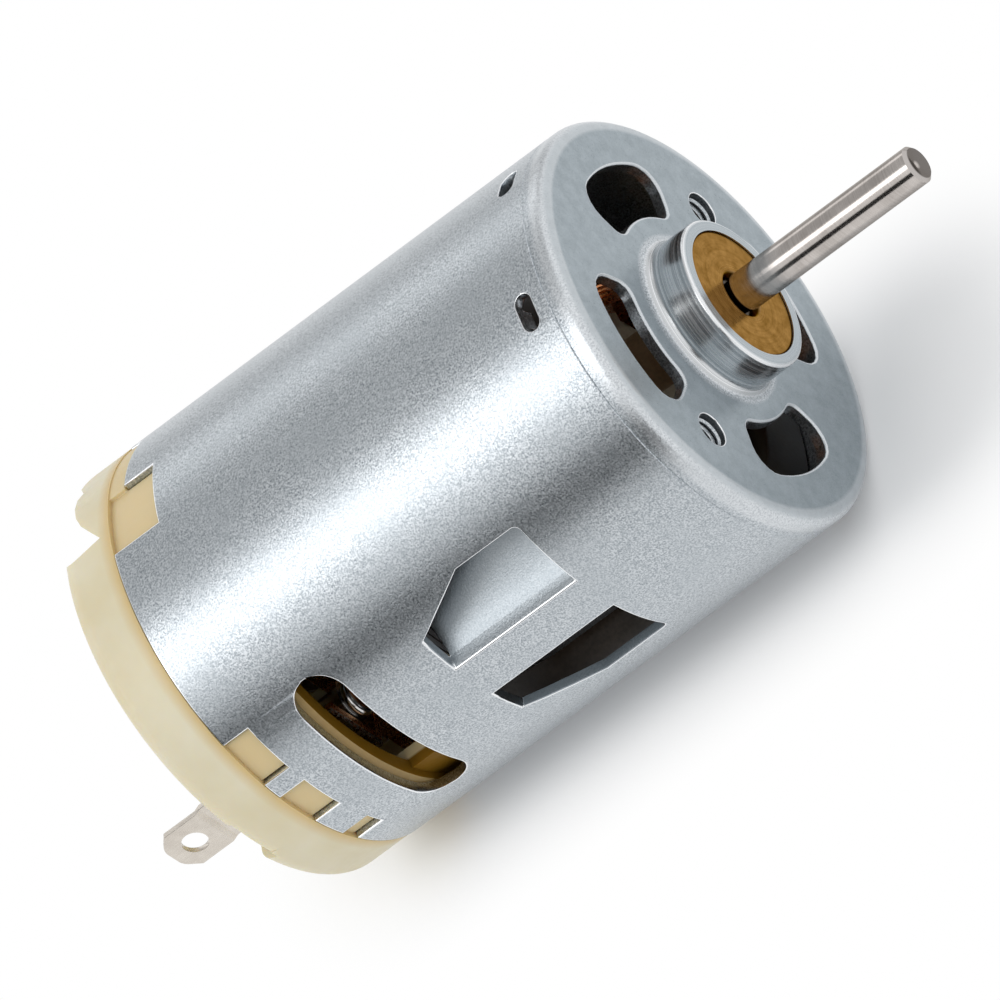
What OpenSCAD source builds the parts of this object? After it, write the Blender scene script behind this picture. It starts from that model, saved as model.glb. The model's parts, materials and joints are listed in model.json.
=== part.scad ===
// Small brushed permanent-magnet motor with a drawn steel can, in millimetres.
// +X runs along the shaft towards its free end and +Z is up.
// The origin is the centre of the front mounting face.
// An angle is turned about X from the side of the can that faces -Y.

/* [Can] */
// Outer diameter of the can
can_d = 35.8; // [35.4:0.1:36.6]
// Length of the can from its front face to its rear edge
can_len = 45; // [44.6:0.1:47]
// Thickness of the drawn sheet
sheet = 1; // [0.8:0.05:1.1]
// Outer radius of the front edge
edge_r = 1; // [0.6:0.05:1.4]
// Depth of the fine groove behind the front edge
groove_depth = 0.08; // [0.04:0.02:0.2]

/* [Collar and front bearing] */
// Outer diameter of the pilot collar
collar_d = 13; // [12.6:0.1:14]
// Height of the collar above the front face
collar_h = 3.7; // [3:0.1:4.7]
// Wall of the collar
collar_wall = 1; // [0.8:0.05:1.2]
// How far the bearing sits below the rim of the collar
bearing_recess = 0.15; // [0.05:0.05:0.5]
// How far the bearing reaches behind the front sheet
bearing_tail = 0.6; // [0.2:0.1:1]

/* [Shaft] */
// Diameter of the shaft
shaft_d = 3.175; // [3:0.005:3.2]
// Distance from the front face to the tip of the shaft
shaft_out = 21.8; // [12:0.1:26]
// Chamfer at both ends of the shaft
shaft_chamfer = 0.3; // [0.1:0.05:0.5]

/* [Front face pattern] */
// Distance between the two screw holes
screw_pitch = 25; // [24.5:0.1:25.5]
// Core diameter of a tapped screw hole
screw_core_d = 2.5; // [2:0.05:3]
// Outer diameter of the drawn neck behind a screw hole
neck_d = 3.9; // [3.6:0.1:4.2]
// Length of the drawn neck behind the sheet
neck_len = 1.2; // [0.6:0.1:1.6]
// Turn of the screw line against the line of the terminals, in degrees
screw_turn = -7; // [-8:0.5:-3]
// Turn of the window pattern against the line of the terminals, in degrees
face_turn = -3.5; // [-5:0.5:0]
// Inner radius of a cooling window
window_in_r = 9.1; // [8.8:0.1:9.4]
// Outer radius of a cooling window
window_out_r = 13.7; // [12.8:0.1:13.9]
// Half of the angle that a window spans, in degrees
window_half = 27; // [20:1:28]
// Angle from the middle line of the window pattern to the middle of a window, in degrees
window_turn = 46.5; // [46:0.5:48]

/* [Louvers and vents] */
// Distance from the front face to the louvers
louver_front = 14.4; // [13:0.1:15.4]
// Distance from the rear edge of the can to the louvers
louver_back = 18.2; // [17.6:0.1:20]
// Angle from the terminal line to the fold of a louver, in degrees
louver_fold = 6.6; // [6:0.1:7]
// Angle from the terminal line to the sheared edge of a louver, in degrees
louver_edge = 27.5; // [26:0.5:28]
// How deep the sheared edge of the panel is pressed in
louver_drop = 3.4; // [2.4:0.1:3.5]
// How far the panel bows in behind its fold
louver_scoop = 1; // [0:0.1:1.2]
// Width of the oval vent along the can
vent_w = 4.4; // [3.6:0.1:4.6]
// Half of the angle that the oval vent spans, in degrees
vent_half = 27.8; // [20:0.2:29]
// Distance from the rear edge of the can to the middle of the vent
vent_back = 8.7; // [8.4:0.1:9]

/* [Rear edge] */
// Depth of the small notches in the rear edge
notch_depth = 2.5; // [1.8:0.1:3]
// Depth of the wide notches on the magnet line
wide_depth = 4.6; // [3.6:0.1:5]
// Half of the angle of a wide notch, in degrees
wide_half = 10; // [8:0.5:12]
// Turn of the wide notches and the key grooves against the magnet line, in degrees
wide_turn = -3; // [-6:0.5:6]

/* [Magnets] */
// How much shorter a magnet is than the can
magnet_room = 18; // [17.5:0.5:21]
// Thickness of a magnet
magnet_t = 4.58; // [4.2:0.02:4.6]
// Half of the angle that a magnet spans, in degrees
magnet_half = 59; // [54:1:59]

/* [Armature] */
// Air gap between the armature and the magnets
air_gap = 0.5; // [0.4:0.05:0.8]
// How much shorter the lamination stack is than the can
stack_room = 23; // [22.5:0.5:25]
// Width of a tooth
tooth_w = 3.4; // [3:0.1:3.6]
// Half of the angle of a pole shoe, in degrees
shoe_half = 30; // [26:0.5:31]
// Thickness of an end insulator
insulator_t = 0.8; // [0.5:0.05:0.9]
// Length of the spacer between the front washer and the armature
front_spacer_len = 4.1; // [3.8:0.1:4.4]

/* [Windings] */
// Diameter of the copper wire
wire_d = 0.4; // [0.3:0.02:0.42]
// Free gap between neighbouring turns of the outer layer
turn_gap = 0.44; // [0.42:0.01:0.5]

/* [Commutator and brushes] */
// Diameter of the commutator
comm_d = 8.8; // [8.4:0.1:9.2]
// Length of the commutator bars
comm_len = 6.2; // [6:0.1:6.6]
// Width of a carbon brush around the commutator
brush_w = 2.8; // [2.2:0.1:3.2]
// Length of a carbon brush along the shaft
brush_len = 4.2; // [3.6:0.1:4.4]
// Height of a carbon brush
brush_h = 3.2; // [2.8:0.1:3.4]
// Thickness of the sprung brush leaf
leaf_t = 0.35; // [0.2:0.05:0.4]

/* [End cap] */
// How far the end cap stands out behind the can
cap_out = 5.4; // [4.8:0.1:6]
// Radius of the rear edge of the end cap
cap_edge_r = 1.6; // [1:0.1:2]
// Length of the skirt inside the can
skirt_len = 7.1; // [6.8:0.1:8.2]
// Wall of the skirt
skirt_wall = 1.3; // [1:0.05:1.4]
// Thickness of the floor of the end cap
floor_t = 3; // [2.6:0.1:3.2]
// Height of the rear bearing hub behind the end cap
hub_out = 1.5; // [1:0.1:2.5]

/* [Terminals] */
// Width of a terminal
terminal_w = 4.3; // [3.8:0.1:4.5]
// Thickness of a terminal
terminal_t = 0.5; // [0.4:0.05:0.6]
// How far a terminal stands out behind the end cap
terminal_out = 7.1; // [6.4:0.1:8]
// Diameter of the hole in a terminal
terminal_hole_d = 2.1; // [1.8:0.1:2.3]
// Distance from the outside of the can in to the middle of a terminal
terminal_in = 4.8; // [4.6:0.05:4.9]

/* [Hidden] */

poles = 5;
pole_turn = 360 / poles;
side_turns = [0, 180];
round_fn = 96;
small_fn = 48;
over = 1;                  // overrun of every cut

press_gap = 0.02;          // between pieces that are pressed or glued together
run_gap = 0.02;            // between the shaft and its bearings
end_play = 0.2;            // between the armature washers and the bearings
brush_gap = 0.05;          // between a brush and the commutator
free_gap = 0.3;            // between pieces that pass each other

can_r = can_d / 2;
can_in_r = can_r - sheet;
inner_bend_r = 0.5;
groove_x = 2;

collar_r = collar_d / 2;
seat_r = collar_r - collar_wall;
rim_r = 0.3;
foot_r = 0.8;
bearing_r = seat_r - press_gap;
bearing_front = collar_h - bearing_recess;
bearing_back = -sheet - bearing_tail;
bearing_mouth = 0.45;
shaft_r = shaft_d / 2;
relief_gap = 0.05;         // from the rim of the collar to the grinding relief in the shaft
relief_w = 0.8;
relief_depth = 0.2;
relief_front = collar_h + relief_gap;
shaft_bore_r = shaft_r + run_gap;

window_in_corner = 1.2;
window_out_corner = 2;
window_steps = 10;
corner_steps = 5;
window_turns = [window_turn, -window_turn, 180 + window_turn, 180 - window_turn];

stop_x = 4;
stop_w = 1.5;
stop_long = 3.1;
stop_turn = 22;
stop_drop = 1;
stop_lip = 0.7;
stop_turns = [90 - stop_turn, 90 + stop_turn, 270 - stop_turn, 270 + stop_turn];

louver_len = can_len - louver_front - louver_back;
louver_chamfer_x = louver_len / 2;
louver_chamfer_half = 17.8;
louver_corner = 0.5;
louver_scoop_share = 0.25;
louver_steps = 8;
vent_x = can_len - vent_back;

cap_seam = 0.06;
filler_drop = 0.5;
step_depth = 1.6;           // the rear edge's step beside a wide notch
step_half = 13.5;
step_in = 1;               // degrees that the step runs into the wide notch
step_drop = 0.16;
// middle angle from the terminal line, half angle, depth and how far below the can its filler lies
notches = [[-0.5, 6.1, notch_depth, filler_drop], [-19.3, 7, notch_depth, filler_drop],
    [18.8, 2.9, notch_depth, filler_drop], [90 + wide_turn, wide_half, wide_depth, filler_drop],
    [90 + wide_turn - wide_half + step_in - step_half, step_half, step_depth, step_drop]];

magnet_front = stop_x + stop_w / 2 + stop_lip + press_gap;
magnet_out_r = can_in_r - press_gap;
magnet_in_r = magnet_out_r - magnet_t;
magnet_len = can_len - magnet_room;
magnet_chamfer = 0.5;

washer_t = 0.5;
washer_r = 2.9;
spacer_r = 2.4;
front_washer_x = bearing_back - end_play;
front_spacer_x = front_washer_x - washer_t;
front_hub_x = front_spacer_x - front_spacer_len;
insulator_hub_len = 0.8;
insulator_hub_r = 3.4;
stack_front = front_hub_x - insulator_hub_len - insulator_t;
stack_len = can_len - stack_room;
stack_rear = stack_front - stack_len;
rear_hub_x = stack_rear - insulator_t - insulator_hub_len;
rotor_bore_r = shaft_r + press_gap;
stack_r = magnet_in_r - air_gap;
stack_hub_r = 4.6;
shoe_t = 1.8;
shoe_tip = 0.5;
shoe_tip_y = stack_r * cos(shoe_half) - shoe_tip;
insulator_inset = 0.3;
insulator_turn_in = 1;      // degrees that the insulator's shoes stop short of the stack's

coil_lift = 0.4;
coil_in_r = stack_hub_r + coil_lift;
coil_end = 2.6;
coil_slope = 0.42;
coil_half_w = 3.05;
turn_pitch = wire_d + turn_gap;
coil_clear = 0.2;
coil_out_r = shoe_tip_y - coil_clear;
coil_depth = coil_out_r - coil_in_r;
coil_half_len = stack_len / 2 + coil_end;
coil_mid_x = (stack_front + stack_rear) / 2;
coil_square = 5;           // exponent of the coil's rounded outline
coil_points = 24;
wire_sides = 6;
wire_seat = 0.04;
wire_off = wire_d / 2 + wire_seat;
wire_start_r = coil_in_r + wire_d / 2 + press_gap;
turns = floor(coil_depth / turn_pitch);
lead_side = 0.4;            // from the middle of a hook to each of its two wires
lead_drop = 1.2;            // from the coil's end to the wire that crosses behind it
lead_turns_share = [0.1, 0.55, 0.9];
lead_r_shares = [0.97, 0.78, 0.6];

comm_r = comm_d / 2;
comm_hub_r = 3.3;
comm_neck_r = 2.9;
comm_room = 4.4;
comm_front = rear_hub_x - comm_room;
comm_back = comm_front - comm_len;
bar_half_turn = 33.5;       // degrees
hook_w = 1.4;
hook_t = 0.7;
hook_r = 5.6;
hook_gap = 0.5;
hook_root_r = (comm_hub_r + comm_r) / 2;

cap_front = -can_len - cap_seam;
cap_back = -can_len - cap_out;
floor_x = cap_back + floor_t;
skirt_r = can_in_r - press_gap;
skirt_in_r = skirt_r - skirt_wall;
flange_r = can_r - cap_seam;
filler_gap_turn = 0.3;
// key notch: places in the plane across the cut, from the rim's rear edge on the notch's own angle
key_slant = 53;            // degrees that the cut is swung along the rim
key_lean = 26;             // degrees that the cut leans towards the shaft end
key_apex = [3.7, -0.4];
key_lip = [1, -0.7];
key_nose = [4.6, 1.4];     // middle of the rounded end of the neighbouring lobe
key_nose_r = 1.6;
key_nose_turns = [90, 215];
key_reach = 5;
lobe_rise = 0.55;
lobe_turn = 43;            // middle of the raised lobe, which marks the motor's polarity
lobe_half = 37;
lobe_in_r = 12;
recess_depth = 0.8;
recess_half_w = terminal_w / 2 + free_gap;
terminal_r = can_r - terminal_in;
terminal_in_r = terminal_r - terminal_t / 2;
recess_in = 2;
recess_in_r = terminal_r - recess_in;

rear_bearing_r = 3.5;
rear_bearing_len = 4.4;
rear_bearing_in = 2.8;
hub_wall = 1.5;
hub_out_r = 5.5;
hub_hole_r = 2.3;
rear_bearing_x = floor_x + rear_bearing_in;
retainer_t = 0.3;
retainer_in_r = washer_r + end_play;
rear_washer_x = rear_bearing_x + end_play + washer_t;
shaft_inset = 1.1;
shaft_back = cap_back - hub_out + shaft_inset;

brush_back_r = comm_r + brush_gap + brush_h;
brush_x = comm_front - hook_t - hook_gap;
leaf_margin = 0.2;
leaf_w = brush_len - 2 * leaf_margin;
leaf_x = brush_x - leaf_margin;
leaf_out_r = brush_back_r + press_gap + leaf_t;
leaf_over = 0.4;
leaf_top = brush_w / 2 + leaf_over;
pivot_z = -9.2;
leaf_tail = 0.5;
leaf_foot = pivot_z - leaf_tail;
pad_gap = 0.15;
bracket_t = 0.6;
bracket_in_r = leaf_out_r + pad_gap;
bracket_top = -7.2;
bracket_bend = -3.5;
bracket_knee_r = 9.6;
bracket_step = 1.5;
bracket_front = leaf_x - bracket_step;

pillar_half_w = 2.2;
pillar_r = skirt_r - skirt_wall / 2;
pillar_top = leaf_foot - free_gap;
pillar_lead = 1.6;
pillar_x = brush_x + pillar_lead;
pad_turn = 31;
pad_half = 12;
pad_t = 1.7;

post_r = 1.5;
post_head_r = 1.75;
post_gap = 0.4;             // room for the leaf's travel
post_y = leaf_out_r + post_gap + post_head_r;
post_z = -0.8;
post_inset = 0.9;
post_front = brush_x - post_inset;
post_head_t = 1;

tab_corner = 1.1;
tab_hole_back = 2.3;
joggle_x = 2.3;
joggle = 0.3;
joggle_len = 0.5;

// Extrudes a drawing in the Y-Z plane from back to front along X.
module along_x(back, front) {
    translate([back, 0, 0]) rotate([90, 0, 90]) linear_extrude(front - back) children();
}

// Extrudes a drawing in the X-Z plane outwards along -Y.
module outwards(in_r, out_r) {
    translate([0, -in_r, 0]) rotate([90, 0, 0]) linear_extrude(out_r - in_r) children();
}

// Turns a drawing of radius and X about the shaft's axis.
module turned() {
    rotate([0, 90, 0]) rotate_extrude($fn = round_fn) children();
}

module around(turn) {
    rotate([turn, 0, 0]) children();
}

module ring(in_r, out_r) {
    difference() {
        circle(out_r, $fn = round_fn);
        circle(in_r, $fn = round_fn);
    }
}

// A wedge about the -Y direction, wide enough to reach past the can.
module wedge(half) {
    reach = can_d;
    polygon([[0, 0], [-reach * cos(half), -reach * sin(half)], [-reach, 0],
        [-reach * cos(half), reach * sin(half)]]);
}

module sector(in_r, out_r, half) {
    intersection() {
        ring(in_r, out_r);
        wedge(half);
    }
}

module tube(in_r, out_r, back, front) {
    turned() translate([in_r, back]) square([out_r - in_r, front - back]);
}

module slot(long, wide) {
    square([wide, long - wide], center = true);
    for (end = [-1, 1]) translate([0, end * (long - wide) / 2]) circle(wide / 2, $fn = small_fn);
}

// Steel can
module can_drawing() {
    difference() {
        union() {
            translate([0, -can_len]) square([can_r, can_len - edge_r]);
            translate([0, -edge_r]) square([can_r - edge_r, edge_r]);
            translate([can_r - edge_r, -edge_r]) circle(edge_r, $fn = small_fn);
            square([collar_r, collar_h - rim_r]);
            translate([0, -over]) square([collar_r - rim_r, collar_h + over]);
            translate([collar_r - rim_r, collar_h - rim_r]) circle(rim_r, $fn = small_fn);
            difference() {
                square([collar_r + foot_r, foot_r]);
                translate([collar_r + foot_r, foot_r]) circle(foot_r, $fn = small_fn);
            }
        }
        can_hollow_drawing();
        translate([0, -can_len]) square([seat_r, can_len + collar_h + over]);
        translate([can_r, -groove_x]) rotate(45) square(groove_depth * sqrt(2), center = true);
    }
}

module can_hollow_drawing() {
    translate([0, -can_len - over]) square([can_in_r, can_len + over - sheet - inner_bend_r]);
    translate([0, -sheet - 2 * inner_bend_r]) square([can_in_r - inner_bend_r, 2 * inner_bend_r]);
    translate([can_in_r - inner_bend_r, -sheet - inner_bend_r]) circle(inner_bend_r, $fn = small_fn);
}

// Points on an arc about a centre, from one angle to another
function arc_points(centre, r, from, to, steps) = [for (step = [0 : steps])
    let (turn = from + (to - from) * step / steps) centre + r * [cos(turn), sin(turn)]];
function polar(r, turn) = r * [cos(turn), sin(turn)];

// A cooling window: tight corners near the collar and wide ones outside.
module window_drawing() {
    in_mid = window_in_r + window_in_corner;
    out_mid = window_out_r - window_out_corner;
    in_half = window_half - asin(window_in_corner / in_mid);
    out_half = window_half - asin(window_out_corner / out_mid);
    rotate(180) polygon(concat(
        arc_points([0, 0], window_out_r, -out_half, out_half, window_steps),
        arc_points(polar(out_mid, out_half), window_out_corner, out_half, window_half + 90, corner_steps),
        arc_points(polar(in_mid, in_half), window_in_corner, window_half + 90, in_half + 180, corner_steps),
        arc_points([0, 0], window_in_r, in_half, -in_half, window_steps),
        arc_points(polar(in_mid, -in_half), window_in_corner, 180 - in_half, 270 - window_half,
            corner_steps),
        arc_points(polar(out_mid, -out_half), window_out_corner, 270 - window_half, 360 - out_half,
            corner_steps)));
}

// The five-sided outline of a louver, with its fold nearest the terminal line.
module louver_drawing() {
    fold_z = can_r * sin(louver_fold);
    edge_z = can_r * sin(louver_edge);
    chamfer_z = can_r * sin(louver_chamfer_half);
    front = -louver_front;
    back = -louver_front - louver_len;
    corner = [front - louver_corner, edge_z - louver_corner];
    polygon(concat([[front, fold_z]], arc_points(corner, louver_corner, 0, 90, corner_steps),
        [[front - louver_chamfer_x, edge_z], [back, chamfer_z], [back, fold_z]]));
}

// Points from the fold of a louver to its sheared edge, steeper behind the fold
function louver_sweep(fold, bow, edge) = [for (step = [0 : louver_steps])
    let (share = step / louver_steps) pow(1 - share, 2) * fold + 2 * share * (1 - share) * bow
        + pow(share, 2) * edge];

// The panel of a louver, folded inwards from its edge nearest the terminal line.
module louver_panel() {
    fold_y = can_r * cos(louver_fold);
    fold_z = can_r * sin(louver_fold);
    edge_y = (can_r - louver_drop) * cos(louver_edge);
    edge_z = (can_r - louver_drop) * sin(louver_edge);
    lean = atan2(fold_y - edge_y, edge_z - fold_z);
    inwards = [cos(lean), -sin(lean)];
    fold = [-fold_y, fold_z];
    edge = [-edge_y, edge_z];
    bow = fold + louver_scoop_share * (edge - fold) + louver_scoop * inwards;
    face = louver_sweep(fold, bow, edge);
    root_y = sheet * cos(louver_fold);
    root_z = sheet * sin(louver_fold);
    intersection() {
        along_x(-louver_front - louver_len, -louver_front)
            polygon(concat(face, [for (i = [louver_steps : -1 : 1]) face[i] + sheet * inwards],
                [[root_y - fold_y, fold_z - root_z], [-fold_y, fold_z - root_z]]));
        outwards(0, can_d) union() {
            louver_drawing();
            translate([-louver_front - louver_len, 0]) square([louver_len, can_r * sin(louver_fold)]);
        }
    }
}

module rear_notch(turn, half, depth) {
    around(turn) along_x(-can_len - over, -can_len + depth) sector(can_in_r - over, can_r + over, half);
}

module screw_places() {
    for (turn = side_turns) around(turn + screw_turn) translate([0, -screw_pitch / 2, 0]) children();
}

module can() {
    color("#a5b2b9") difference() {
        union() {
            difference() {
                turned() can_drawing();
                for (turn = side_turns, way = [0, 1]) around(turn) mirror([0, 0, way])
                    outwards(can_in_r * cos(magnet_half / 2), can_d) louver_drawing();
            }
            for (turn = side_turns, way = [0, 1]) around(turn) mirror([0, 0, way]) louver_panel();
            for (turn = stop_turns) around(turn) magnet_stop();
            screw_places() rotate([0, 90, 0])
                translate([0, 0, -sheet - neck_len])
                    cylinder(neck_len + sheet / 2, neck_d / 2, neck_d / 2, $fn = small_fn);
        }
        screw_places() rotate([0, 90, 0])
            translate([0, 0, -sheet - neck_len - over])
                cylinder(sheet + neck_len + 2 * over, screw_core_d / 2, screw_core_d / 2, $fn = small_fn);
        for (turn = window_turns) around(turn + face_turn) along_x(-sheet - over, over) window_drawing();
        for (turn = stop_turns) around(turn) translate([-stop_x, 0, 0])
            outwards(can_in_r - over / 2, can_r + over) slot(stop_long, stop_w);
        for (turn = side_turns) around(turn) translate([-vent_x, 0, 0])
            outwards(can_in_r * cos(vent_half) - over, can_r + over)
                slot(2 * can_r * sin(vent_half), vent_w);
        for (turn = side_turns) {
            for (notch = notches) rear_notch(turn + notch[0], notch[1], notch[2]);
        }
    }
}

// A lip pressed inwards behind its oval opening, for the end of a magnet.
module magnet_stop() {
    back = -stop_x - stop_w / 2 - stop_lip;
    along_x(back, back + stop_lip) intersection() {
        ring(can_in_r - stop_drop, can_in_r + sheet / 2);
        translate([-can_r, -stop_long / 2 + stop_w / 2]) square([can_r, stop_long - stop_w]);
    }
}

// Front bearing with a countersunk mouth
module front_bearing() {
    color("#a8772f") turned() difference() {
        translate([0, bearing_back]) square([bearing_r, bearing_front - bearing_back]);
        translate([0, bearing_back - over])
            square([shaft_bore_r, bearing_front - bearing_back + 2 * over]);
        polygon([[0, bearing_front + over], [0, bearing_front - bearing_mouth - shaft_bore_r],
            [shaft_bore_r + bearing_mouth + over, bearing_front + over]]);
    }
}

// Ferrite arc with its long edges chamfered towards the armature
module magnet(turn) {
    around(turn) color("#3a3a3d") along_x(-magnet_front - magnet_len, -magnet_front) difference() {
        sector(magnet_in_r, magnet_out_r, magnet_half);
        for (way = [-1, 1]) rotate(way * magnet_half) translate([-magnet_in_r, 0]) rotate(45)
            square(magnet_chamfer * sqrt(2), center = true);
    }
}

module magnet_upper() {
    magnet(-90);
}

module magnet_lower() {
    magnet(90);
}

// End cap
module rim_drawing() {
    translate([0, cap_back + cap_edge_r]) square([flange_r, cap_front - cap_back - cap_edge_r]);
    translate([0, cap_back]) square([flange_r - cap_edge_r, cap_edge_r]);
    translate([flange_r - cap_edge_r, cap_back + cap_edge_r]) circle(cap_edge_r, $fn = small_fn);
}

module cap_drawing() {
    difference() {
        union() {
            translate([0, floor_x]) square([skirt_r, skirt_len - can_len - floor_x]);
            rim_drawing();
            translate([0, cap_back - hub_out]) square([hub_out_r, hub_out + over]);
        }
        difference() {
            translate([0, floor_x]) square([skirt_in_r, can_len + over]);
            translate([0, floor_x - over])
                square([rear_bearing_r + hub_wall, rear_bearing_in + over]);
        }
        translate([0, rear_bearing_x - rear_bearing_len])
            square([rear_bearing_r, rear_bearing_len + can_len]);
        translate([0, cap_back - hub_out - over]) square([hub_hole_r, floor_t + hub_out + 2 * over]);
    }
}

// What fills a notch of the can
module notch_filler(turn, half, depth, drop) {
    around(turn) along_x(cap_front - over, -can_len + depth - cap_seam)
        sector(skirt_in_r + skirt_wall / 2, can_r - drop, half - filler_gap_turn);
}

// A slanted notch between two lobes of the rim, which keys the motor in its housing
module key_notch(turn) {
    around(turn) translate([cap_back, -flange_r, 0]) around(key_slant)
        rotate([90, 0, key_lean]) linear_extrude(2 * can_len, center = true)
            polygon(concat([key_apex, key_lip, [-key_reach, key_lip[1]], [-key_reach, key_reach]],
                [[key_nose[0], key_reach]],
                arc_points(key_nose, key_nose_r, key_nose_turns[0], key_nose_turns[1], corner_steps)));
}

// A lobe of the rim that stands out behind the rest
module polarity_lobe() {
    around(lobe_turn) intersection() {
        turned() translate([0, -lobe_rise]) rim_drawing();
        along_x(cap_back - lobe_rise, cap_back + cap_edge_r) sector(lobe_in_r, flange_r, lobe_half);
    }
}

// A pillar that carries the foot of a brush leaf, and a pad beside it, both grown out of the skirt
module brush_pillar() {
    along_x(floor_x - over, pillar_x) intersection() {
        circle(pillar_r, $fn = round_fn);
        translate([-leaf_out_r + leaf_t / 2 - pillar_half_w, pillar_top - can_r])
            square([2 * pillar_half_w, can_r]);
    }
    around(pad_turn) along_x(floor_x - over, pillar_x) sector(pillar_r - pad_t, pillar_r, pad_half);
}

module end_cap() {
    color("#dccda6") difference() {
        union() {
            turned() cap_drawing();
            for (turn = side_turns) {
                for (notch = notches) notch_filler(turn + notch[0], notch[1], notch[2], notch[3]);
                around(turn) brush_pillar();
            }
            polarity_lobe();
        }
        for (turn = side_turns) {
            key_notch(turn + 90 + wide_turn);
            around(turn) translate([cap_back - lobe_rise - over, -can_r - over, -recess_half_w])
                cube([recess_depth + lobe_rise + over, can_r + over - recess_in_r, 2 * recess_half_w]);
            around(turn) translate([cap_back - over, -terminal_r - terminal_t / 2 - press_gap,
                -terminal_w / 2 - press_gap])
                cube([floor_t + 2 * over, terminal_t + 2 * press_gap, terminal_w + 2 * press_gap]);
            around(turn) post_places() cylinder(floor_t, post_r + press_gap, post_r + press_gap,
                $fn = small_fn, center = true);
        }
    }
}

module rear_bearing() {
    color("#a8772f") tube(shaft_bore_r, rear_bearing_r - press_gap,
        rear_bearing_x - rear_bearing_len + press_gap, rear_bearing_x);
}

module bearing_retainer() {
    color("#8d9296") tube(retainer_in_r, rear_bearing_r + hub_wall - press_gap,
        rear_bearing_x, rear_bearing_x + retainer_t);
}

// Terminal: a flat tab outside, a slight joggle, and a blade inside the cap
module terminal_drawing() {
    tip = cap_back - terminal_out;
    difference() {
        union() {
            polygon([[tip + tab_corner, -terminal_w / 2], [tip, -terminal_w / 2 + tab_corner],
                [tip, terminal_w / 2 - tab_corner], [tip + tab_corner, terminal_w / 2],
                [bracket_front, terminal_w / 2], [bracket_front, bracket_bend],
                [leaf_x - leaf_w, bracket_bend], [leaf_x - leaf_w, -terminal_w / 2]]);
        }
        translate([tip + tab_hole_back, 0]) circle(terminal_hole_d / 2, $fn = small_fn);
    }
}

module terminal_side() {
    bend = cap_back - joggle_x;
    in_r = terminal_r - terminal_t / 2;
    out_r = terminal_r + terminal_t / 2;
    reach = terminal_out + over;
    intersection() {
        outwards(in_r - joggle - over, out_r + joggle + over) terminal_drawing();
        translate([0, 0, -can_r]) linear_extrude(can_d)
            polygon([[bend - reach, -in_r - joggle], [bend - joggle_len, -in_r - joggle], [bend, -in_r],
                [bracket_front, -in_r], [bracket_front, -out_r], [bend, -out_r],
                [bend - joggle_len, -out_r - joggle], [bend - reach, -out_r - joggle]]);
    }
}

module terminal(turn) {
    color("#b9b4ac") around(turn) terminal_side();
}

// Bracket from the terminal's blade to the foot of the brush leaf
module bracket_side() {
    out = terminal_in_r;
    in_face = out - bracket_t;
    pad_out = bracket_in_r + bracket_t;
    along_x(leaf_x - leaf_w, bracket_front)
        polygon([[-out, terminal_w / 2], [-out, bracket_bend], [-bracket_knee_r, bracket_bend],
            [-pad_out, bracket_top], [-pad_out, leaf_foot], [-bracket_in_r, leaf_foot],
            [-bracket_in_r, bracket_top + bracket_t], [bracket_t - bracket_knee_r, bracket_bend + bracket_t],
            [-in_face, bracket_bend + bracket_t], [-in_face, terminal_w / 2]]);
}

module brush_bracket(turn) {
    color("#9a5a2c") around(turn) bracket_side();
}

module post_places() {
    translate([floor_x, -post_y, post_z]) rotate([0, 90, 0]) children();
}

// Rounded steel post that limits the leaf's travel
module stop_post(turn) {
    shank = post_front - post_head_t - floor_x;
    color("#c8ccd0") around(turn) post_places() rotate_extrude($fn = small_fn) {
        translate([0, -floor_t / 2 + press_gap]) square([post_r, shank + floor_t / 2]);
        translate([0, shank - over / 2]) square([post_head_r, over / 2]);
        translate([0, shank]) square([post_head_r - post_head_t / 2, post_head_t]);
        translate([post_head_r - post_head_t / 2, shank + post_head_t / 2])
            circle(post_head_t / 2, $fn = small_fn);
    }
}

module brush_leaf(turn) {
    color("#a9622e") around(turn) along_x(leaf_x - leaf_w, leaf_x)
        translate([-leaf_out_r, leaf_foot]) square([leaf_t, leaf_top - leaf_foot]);
}

module carbon_brush(turn) {
    color("#2f2f31") around(turn) difference() {
        translate([brush_x - brush_len, -brush_back_r, -brush_w / 2])
            cube([brush_len, brush_back_r - comm_r / 2, brush_w]);
        translate([brush_x - brush_len - over, 0, 0]) rotate([0, 90, 0])
            cylinder(brush_len + 2 * over, comm_r + brush_gap, comm_r + brush_gap, $fn = round_fn);
    }
}

// Shaft, with a fine grinding relief in the bearing's mouth
module shaft() {
    tip = shaft_r - shaft_chamfer;
    relief_back = relief_front - relief_w;
    color("#b4b2ae") turned() difference() {
        polygon([[0, shaft_back], [tip, shaft_back], [shaft_r, shaft_back + shaft_chamfer],
            [shaft_r, shaft_out - shaft_chamfer], [tip, shaft_out], [0, shaft_out]]);
        translate([shaft_r - relief_depth, relief_back]) square([relief_depth + over, relief_w]);
    }
}

// Five teeth with pole shoes on a hub
module pole_drawing(shoe_half_turn, out_r) {
    tooth_r = stack_r - shoe_t / 2;
    difference() {
        union() {
            circle(stack_hub_r, $fn = round_fn);
            for (pole = [0 : poles - 1]) rotate(pole * pole_turn) {
                translate([-tooth_r, -tooth_w / 2]) square([tooth_r, tooth_w]);
                intersection() {
                    sector(stack_r / 2, out_r, shoe_half_turn);
                    shoe_slope();
                }
            }
        }
        circle(rotor_bore_r, $fn = round_fn);
    }
}

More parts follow.
